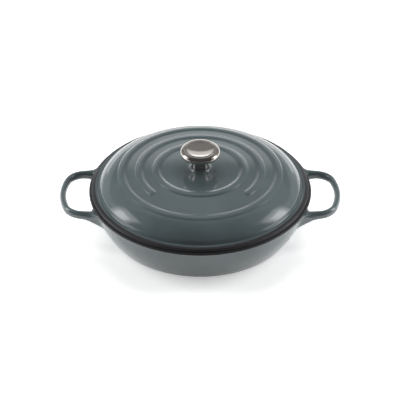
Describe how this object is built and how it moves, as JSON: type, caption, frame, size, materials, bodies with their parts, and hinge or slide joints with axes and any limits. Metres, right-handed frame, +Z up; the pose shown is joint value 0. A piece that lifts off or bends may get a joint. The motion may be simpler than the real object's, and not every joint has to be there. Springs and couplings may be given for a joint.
{
  "type": "braiser",
  "caption": "Round shallow enamelled cast-iron braiser with loop handles and a domed lift-off lid that has raised rings and a stainless knob.",
  "frame": {"origin": "bottom centre of the pan, on its axis, at the plane it stands on", "axes": "+Z up along the pan's axis, +X through the right loop handle, the open side of the lid's middle ring faces -Y"},
  "size_m": [0.403, 0.318, 0.1331],
  "materials": {
    "cast_iron": "rough sand-cast iron",
    "grey_enamel": "glossy blue-grey vitreous enamel",
    "black_enamel": "matte black ground coat",
    "cream_enamel": "glossy pale cooking enamel",
    "stainless": "spun and polished stainless steel",
    "plated_steel": "zinc-plated steel"
  },
  "bodies": {
    "pan": {"pan_casting": "cast_iron", "pan_exterior_enamel": "grey_enamel", "pan_base_enamel": "black_enamel", "pan_interior_enamel": "cream_enamel", "pan_rim_enamel": "black_enamel"},
    "lid": {"lid_casting": "cast_iron", "lid_exterior_enamel": "grey_enamel", "lid_interior_enamel": "cream_enamel", "lid_rim_enamel": "black_enamel", "knob_shell": "stainless", "knob_dish": "stainless", "knob_insert": "plated_steel", "knob_screw": "plated_steel", "screw_washer": "plated_steel"}
  },
  "joints": [
    {"name": "lid_lift", "type": "slide", "parent": "pan", "child": "lid", "axis": [0, 0, 1], "range_m": [0, 0.12]}
  ]
}
